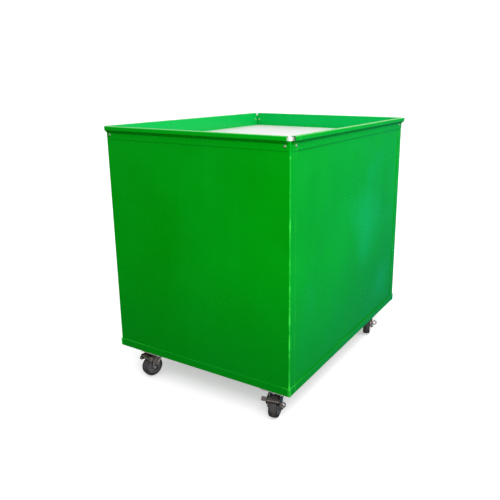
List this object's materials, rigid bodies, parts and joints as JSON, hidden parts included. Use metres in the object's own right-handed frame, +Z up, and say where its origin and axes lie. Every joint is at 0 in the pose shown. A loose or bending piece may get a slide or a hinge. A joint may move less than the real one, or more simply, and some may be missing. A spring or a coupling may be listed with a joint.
{
  "type": "wheeled tote bin",
  "caption": "Open-topped sheet-metal tote on braked swivel casters, with flared rim rails and a white spring-loaded platform that sits just below the rim.",
  "frame": {"origin": "on the floor, under the centre of the rim's outline", "axes": "+Z up; +Y along the longer side, away from the front; +X to the right seen from the front"},
  "size_m": [0.628, 0.8268, 0.76],
  "materials": {
    "green_paint": "semi-gloss green enamel on folded sheet steel",
    "white_board": "satin white laminated board",
    "zinc_steel": "dull zinc-plated pressed steel",
    "spring_steel": "oiled spring steel wire",
    "hub_plastic": "moulded dark grey plastic",
    "tyre_rubber": "matt grey-black rubber",
    "pedal_steel": "dark plated pressed steel"
  },
  "bodies": {
    "body": {"base_plate": "green_paint", "bottom_rail_front": "green_paint", "bottom_rail_right": "green_paint", "bottom_rail_back": "green_paint", "bottom_rail_left": "green_paint", "front_panel": "green_paint", "right_panel": "green_paint", "back_panel": "green_paint", "left_panel": "green_paint", "corner_post_front_left": "green_paint", "corner_post_front_right": "green_paint", "corner_post_rear_left": "green_paint", "corner_post_rear_right": "green_paint", "top_rail_front": "green_paint", "top_rail_right": "green_paint", "top_rail_back": "green_paint", "top_rail_left": "green_paint", "spring_seat_lower_front_left": "zinc_steel", "spring_seat_lower_front_right": "zinc_steel", "spring_seat_lower_rear_left": "zinc_steel", "spring_seat_lower_rear_right": "zinc_steel", "spring_front_left": "spring_steel", "spring_front_right": "spring_steel", "spring_rear_left": "spring_steel", "spring_rear_right": "spring_steel", "caster_plate_front_left": "zinc_steel", "caster_kingpin_front_left": "zinc_steel", "caster_plate_front_right": "zinc_steel", "caster_kingpin_front_right": "zinc_steel", "caster_plate_rear_right": "zinc_steel", "caster_kingpin_rear_right": "zinc_steel", "caster_plate_rear_left": "zinc_steel", "caster_kingpin_rear_left": "zinc_steel"},
    "platform": {"platform_deck": "white_board", "platform_bearer_left": "zinc_steel", "platform_bearer_right": "zinc_steel", "spring_seat_upper_front_left": "zinc_steel", "spring_seat_upper_front_right": "zinc_steel", "spring_seat_upper_rear_left": "zinc_steel", "spring_seat_upper_rear_right": "zinc_steel"},
    "caster_swivel_front_left": {"caster_fork_front_left": "zinc_steel", "caster_axle_front_left": "zinc_steel"},
    "caster_wheel_front_left": {"caster_hub_front_left": "hub_plastic", "caster_tyre_front_left": "tyre_rubber"},
    "brake_front_left": {"brake_pedal_front_left": "pedal_steel"},
    "caster_swivel_front_right": {"caster_fork_front_right": "zinc_steel", "caster_axle_front_right": "zinc_steel"},
    "caster_wheel_front_right": {"caster_hub_front_right": "hub_plastic", "caster_tyre_front_right": "tyre_rubber"},
    "brake_front_right": {"brake_pedal_front_right": "pedal_steel"},
    "caster_swivel_rear_right": {"caster_fork_rear_right": "zinc_steel", "caster_axle_rear_right": "zinc_steel"},
    "caster_wheel_rear_right": {"caster_hub_rear_right": "hub_plastic", "caster_tyre_rear_right": "tyre_rubber"},
    "brake_rear_right": {"brake_pedal_rear_right": "pedal_steel"},
    "caster_swivel_rear_left": {"caster_fork_rear_left": "zinc_steel", "caster_axle_rear_left": "zinc_steel"},
    "caster_wheel_rear_left": {"caster_hub_rear_left": "hub_plastic", "caster_tyre_rear_left": "tyre_rubber"},
    "brake_rear_left": {"brake_pedal_rear_left": "pedal_steel"}
  },
  "joints": [
    {"name": "platform_slide", "type": "slide", "parent": "body", "child": "platform", "axis": [0, 0, 1], "range_m": [-0.4, 0], "stiffness_N_per_m": 1000, "springref_m": 0.12, "deforming": ["spring_front_left", "spring_front_right", "spring_rear_left", "spring_rear_right"]},
    {"name": "swivel_front_left", "type": "hinge", "parent": "body", "child": "caster_swivel_front_left", "pos_m": [-0.187, -0.3615, 0.07], "axis": [0, 0, 1], "continuous": true},
    {"name": "wheel_spin_front_left", "type": "hinge", "parent": "caster_swivel_front_left", "child": "caster_wheel_front_left", "pos_m": [-0.19321, -0.38468, 0.031], "axis": [0.9659, -0.2588, 0], "continuous": true},
    {"name": "brake_press_front_left", "type": "hinge", "parent": "caster_swivel_front_left", "child": "brake_front_left", "pos_m": [-0.19062, -0.37502, 0.0674], "axis": [0.9659, -0.2588, 0], "range_deg": [0, 16]},
    {"name": "swivel_front_right", "type": "hinge", "parent": "body", "child": "caster_swivel_front_right", "pos_m": [0.246, -0.3615, 0.07], "axis": [0, 0, 1], "continuous": true},
    {"name": "wheel_spin_front_right", "type": "hinge", "parent": "caster_swivel_front_right", "child": "caster_wheel_front_right", "pos_m": [0.25099, -0.38498, 0.031], "axis": [0.9781, 0.2079, 0], "continuous": true},
    {"name": "brake_press_front_right", "type": "hinge", "parent": "caster_swivel_front_right", "child": "brake_front_right", "pos_m": [0.24891, -0.37519, 0.0674], "axis": [0.9781, 0.2079, 0], "range_deg": [-16, 0]},
    {"name": "swivel_rear_right", "type": "hinge", "parent": "body", "child": "caster_swivel_rear_right", "pos_m": [0.259, 0.2545, 0.07], "axis": [0, 0, 1], "continuous": true},
    {"name": "wheel_spin_rear_right", "type": "hinge", "parent": "caster_swivel_rear_right", "child": "caster_wheel_rear_right", "pos_m": [0.2676, 0.23209, 0.031], "axis": [0.9336, 0.3584, 0], "continuous": true},
    {"name": "brake_press_rear_right", "type": "hinge", "parent": "caster_swivel_rear_right", "child": "brake_rear_right", "pos_m": [0.26402, 0.24143, 0.0674], "axis": [0.9336, 0.3584, 0], "range_deg": [-16, 0]},
    {"name": "swivel_rear_left", "type": "hinge", "parent": "body", "child": "caster_swivel_rear_left", "pos_m": [-0.187, 0.2545, 0.07], "axis": [0, 0, 1], "continuous": true},
    {"name": "wheel_spin_rear_left", "type": "hinge", "parent": "caster_swivel_rear_left", "child": "caster_wheel_rear_left", "pos_m": [-0.19599, 0.23225, 0.031], "axis": [0.9272, -0.3746, 0], "continuous": true},
    {"name": "brake_press_rear_left", "type": "hinge", "parent": "caster_swivel_rear_left", "child": "brake_rear_left", "pos_m": [-0.19224, 0.24152, 0.0674], "axis": [0.9272, -0.3746, 0], "range_deg": [0, 16]}
  ]
}
